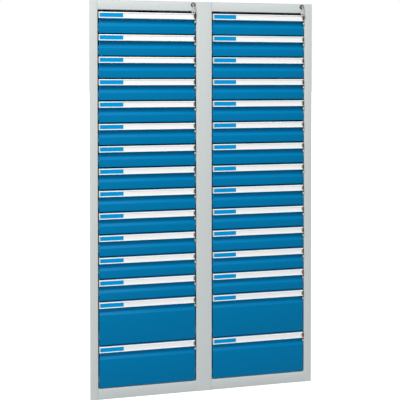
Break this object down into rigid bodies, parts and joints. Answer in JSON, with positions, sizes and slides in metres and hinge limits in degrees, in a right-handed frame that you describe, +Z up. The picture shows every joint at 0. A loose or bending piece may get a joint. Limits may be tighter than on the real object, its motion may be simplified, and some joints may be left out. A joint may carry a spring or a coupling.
{
  "type": "drawer cabinet",
  "caption": "Upright steel drawer cabinet with two columns of pull-out drawers under a header, full-width grips with labels, and a lock for each column.",
  "frame": {"origin": "on the floor, in the middle of the outline, keys and grips included", "axes": "+X to the right when facing the fronts, +Y into the cabinet, +Z up"},
  "size_m": [1.03, 0.516, 1.796],
  "materials": {
    "frame_grey": "powder coat, satin",
    "drawer_blue": "powder coat, satin",
    "zinc_steel": "zinc plated",
    "nickel": "nickel plated",
    "nylon": "plain",
    "rubber": "matte",
    "foot_rubber": "matte",
    "grip_aluminium": "anodised, satin",
    "label_card": "smooth card",
    "tag_card": "printed card",
    "label_cover": "clear",
    "end_cap": "fine grain"
  },
  "bodies": {
    "cabinet": {"side_panel_left": "frame_grey", "side_panel_right": "frame_grey", "center_post": "frame_grey", "center_partition": "frame_grey", "header_rail_left": "frame_grey", "header_rail_right": "frame_grey", "base_rails": "frame_grey", "top_panel": "frame_grey", "bottom_panel": "frame_grey", "back_panel": "frame_grey", "rear_uprights": "zinc_steel", "rails_left_column": "zinc_steel", "rails_right_column": "zinc_steel", "rail_glides": "nylon", "rail_buffers": "rubber", "levelling_feet": "foot_rubber", "foot_plates": "zinc_steel", "lock_housings": "nickel", "lock_nuts": "zinc_steel", "lock_bar_guides": "nylon"},
    "drawer_left_01": {"drawer_left_01": "drawer_blue"},
    "drawer_left_02": {"drawer_left_02": "drawer_blue"},
    "drawer_left_03": {"drawer_left_03": "drawer_blue"},
    "drawer_left_04": {"drawer_left_04": "drawer_blue"},
    "drawer_left_05": {"drawer_left_05": "drawer_blue"},
    "drawer_left_06": {"drawer_left_06": "drawer_blue"},
    "drawer_left_07": {"drawer_left_07": "drawer_blue"},
    "drawer_left_08": {"drawer_left_08": "drawer_blue"},
    "drawer_left_09": {"drawer_left_09": "drawer_blue"},
    "drawer_left_10": {"drawer_left_10": "drawer_blue"},
    "drawer_left_11": {"drawer_left_11": "drawer_blue"},
    "drawer_left_12": {"drawer_left_12": "drawer_blue"},
    "drawer_left_13": {"drawer_left_13": "drawer_blue"},
    "drawer_left_14": {"drawer_left_14": "drawer_blue"},
    "drawer_left_15": {"drawer_left_15": "drawer_blue"},
    "lock_left": {"lock_plug_left": "nickel", "lock_cam_left": "nickel", "key_blade_left": "nickel"},
    "key_left": {"key_bow_left": "nickel"},
    "bar_left": {"lock_bar_left": "zinc_steel"},
    "drawer_right_01": {"drawer_right_01": "drawer_blue"},
    "drawer_right_02": {"drawer_right_02": "drawer_blue"},
    "drawer_right_03": {"drawer_right_03": "drawer_blue"},
    "drawer_right_04": {"drawer_right_04": "drawer_blue"},
    "drawer_right_05": {"drawer_right_05": "drawer_blue"},
    "drawer_right_06": {"drawer_right_06": "drawer_blue"},
    "drawer_right_07": {"drawer_right_07": "drawer_blue"},
    "drawer_right_08": {"drawer_right_08": "drawer_blue"},
    "drawer_right_09": {"drawer_right_09": "drawer_blue"},
    "drawer_right_10": {"drawer_right_10": "drawer_blue"},
    "drawer_right_11": {"drawer_right_11": "drawer_blue"},
    "drawer_right_12": {"drawer_right_12": "drawer_blue"},
    "drawer_right_13": {"drawer_right_13": "drawer_blue"},
    "drawer_right_14": {"drawer_right_14": "drawer_blue"},
    "drawer_right_15": {"drawer_right_15": "drawer_blue"},
    "lock_right": {"lock_plug_right": "nickel", "lock_cam_right": "nickel", "key_blade_right": "nickel"},
    "key_right": {"key_bow_right": "nickel"},
    "bar_right": {"lock_bar_right": "zinc_steel"}
  },
  "joints": [
    {"name": "drawer_left_01_slide", "type": "slide", "parent": "cabinet", "child": "drawer_left_01", "axis": [0, -1, 0], "range_m": [0, 0.38]},
    {"name": "drawer_left_02_slide", "type": "slide", "parent": "cabinet", "child": "drawer_left_02", "axis": [0, -1, 0], "range_m": [0, 0.38]},
    {"name": "drawer_left_03_slide", "type": "slide", "parent": "cabinet", "child": "drawer_left_03", "axis": [0, -1, 0], "range_m": [0, 0.38]},
    {"name": "drawer_left_04_slide", "type": "slide", "parent": "cabinet", "child": "drawer_left_04", "axis": [0, -1, 0], "range_m": [0, 0.38]},
    {"name": "drawer_left_05_slide", "type": "slide", "parent": "cabinet", "child": "drawer_left_05", "axis": [0, -1, 0], "range_m": [0, 0.38]},
    {"name": "drawer_left_06_slide", "type": "slide", "parent": "cabinet", "child": "drawer_left_06", "axis": [0, -1, 0], "range_m": [0, 0.38]},
    {"name": "drawer_left_07_slide", "type": "slide", "parent": "cabinet", "child": "drawer_left_07", "axis": [0, -1, 0], "range_m": [0, 0.38]},
    {"name": "drawer_left_08_slide", "type": "slide", "parent": "cabinet", "child": "drawer_left_08", "axis": [0, -1, 0], "range_m": [0, 0.38]},
    {"name": "drawer_left_09_slide", "type": "slide", "parent": "cabinet", "child": "drawer_left_09", "axis": [0, -1, 0], "range_m": [0, 0.38]},
    {"name": "drawer_left_10_slide", "type": "slide", "parent": "cabinet", "child": "drawer_left_10", "axis": [0, -1, 0], "range_m": [0, 0.38]},
    {"name": "drawer_left_11_slide", "type": "slide", "parent": "cabinet", "child": "drawer_left_11", "axis": [0, -1, 0], "range_m": [0, 0.38]},
    {"name": "drawer_left_12_slide", "type": "slide", "parent": "cabinet", "child": "drawer_left_12", "axis": [0, -1, 0], "range_m": [0, 0.38]},
    {"name": "drawer_left_13_slide", "type": "slide", "parent": "cabinet", "child": "drawer_left_13", "axis": [0, -1, 0], "range_m": [0, 0.38]},
    {"name": "drawer_left_14_slide", "type": "slide", "parent": "cabinet", "child": "drawer_left_14", "axis": [0, -1, 0], "range_m": [0, 0.38]},
    {"name": "drawer_left_15_slide", "type": "slide", "parent": "cabinet", "child": "drawer_left_15", "axis": [0, -1, 0], "range_m": [0, 0.38]},
    {"name": "lock_left_turn", "type": "hinge", "parent": "cabinet", "child": "lock_left", "pos_m": [-0.05, -0.242, 1.782], "axis": [0, 1, 0], "range_deg": [0, 90]},
    {"name": "key_left_fold", "type": "hinge", "parent": "lock_left", "child": "key_left", "pos_m": [-0.05, -0.254, 1.782], "axis": [-1, 0, 0], "range_deg": [0, 90]},
    {"name": "bar_left_drop", "type": "slide", "parent": "cabinet", "child": "bar_left", "axis": [0, 0, -1], "range_m": [0, 0.0099]},
    {"name": "drawer_right_01_slide", "type": "slide", "parent": "cabinet", "child": "drawer_right_01", "axis": [0, -1, 0], "range_m": [0, 0.38]},
    {"name": "drawer_right_02_slide", "type": "slide", "parent": "cabinet", "child": "drawer_right_02", "axis": [0, -1, 0], "range_m": [0, 0.38]},
    {"name": "drawer_right_03_slide", "type": "slide", "parent": "cabinet", "child": "drawer_right_03", "axis": [0, -1, 0], "range_m": [0, 0.38]},
    {"name": "drawer_right_04_slide", "type": "slide", "parent": "cabinet", "child": "drawer_right_04", "axis": [0, -1, 0], "range_m": [0, 0.38]},
    {"name": "drawer_right_05_slide", "type": "slide", "parent": "cabinet", "child": "drawer_right_05", "axis": [0, -1, 0], "range_m": [0, 0.38]},
    {"name": "drawer_right_06_slide", "type": "slide", "parent": "cabinet", "child": "drawer_right_06", "axis": [0, -1, 0], "range_m": [0, 0.38]},
    {"name": "drawer_right_07_slide", "type": "slide", "parent": "cabinet", "child": "drawer_right_07", "axis": [0, -1, 0], "range_m": [0, 0.38]},
    {"name": "drawer_right_08_slide", "type": "slide", "parent": "cabinet", "child": "drawer_right_08", "axis": [0, -1, 0], "range_m": [0, 0.38]},
    {"name": "drawer_right_09_slide", "type": "slide", "parent": "cabinet", "child": "drawer_right_09", "axis": [0, -1, 0], "range_m": [0, 0.38]},
    {"name": "drawer_right_10_slide", "type": "slide", "parent": "cabinet", "child": "drawer_right_10", "axis": [0, -1, 0], "range_m": [0, 0.38]},
    {"name": "drawer_right_11_slide", "type": "slide", "parent": "cabinet", "child": "drawer_right_11", "axis": [0, -1, 0], "range_m": [0, 0.38]},
    {"name": "drawer_right_12_slide", "type": "slide", "parent": "cabinet", "child": "drawer_right_12", "axis": [0, -1, 0], "range_m": [0, 0.38]},
    {"name": "drawer_right_13_slide", "type": "slide", "parent": "cabinet", "child": "drawer_right_13", "axis": [0, -1, 0], "range_m": [0, 0.38]},
    {"name": "drawer_right_14_slide", "type": "slide", "parent": "cabinet", "child": "drawer_right_14", "axis": [0, -1, 0], "range_m": [0, 0.38]},
    {"name": "drawer_right_15_slide", "type": "slide", "parent": "cabinet", "child": "drawer_right_15", "axis": [0, -1, 0], "range_m": [0, 0.38]},
    {"name": "lock_right_turn", "type": "hinge", "parent": "cabinet", "child": "lock_right", "pos_m": [0.465, -0.242, 1.782], "axis": [0, 1, 0], "range_deg": [0, 90]},
    {"name": "key_right_fold", "type": "hinge", "parent": "lock_right", "child": "key_right", "pos_m": [0.465, -0.254, 1.782], "axis": [-1, 0, 0], "range_deg": [0, 90]},
    {"name": "bar_right_drop", "type": "slide", "parent": "cabinet", "child": "bar_right", "axis": [0, 0, -1], "range_m": [0, 0.0099]}
  ],
  "couplings": [
    {"joint": "lock_left_turn", "follows": "bar_left_drop", "rad_per_m": 158.66},
    {"joint": "lock_right_turn", "follows": "bar_right_drop", "rad_per_m": 158.66}
  ]
}
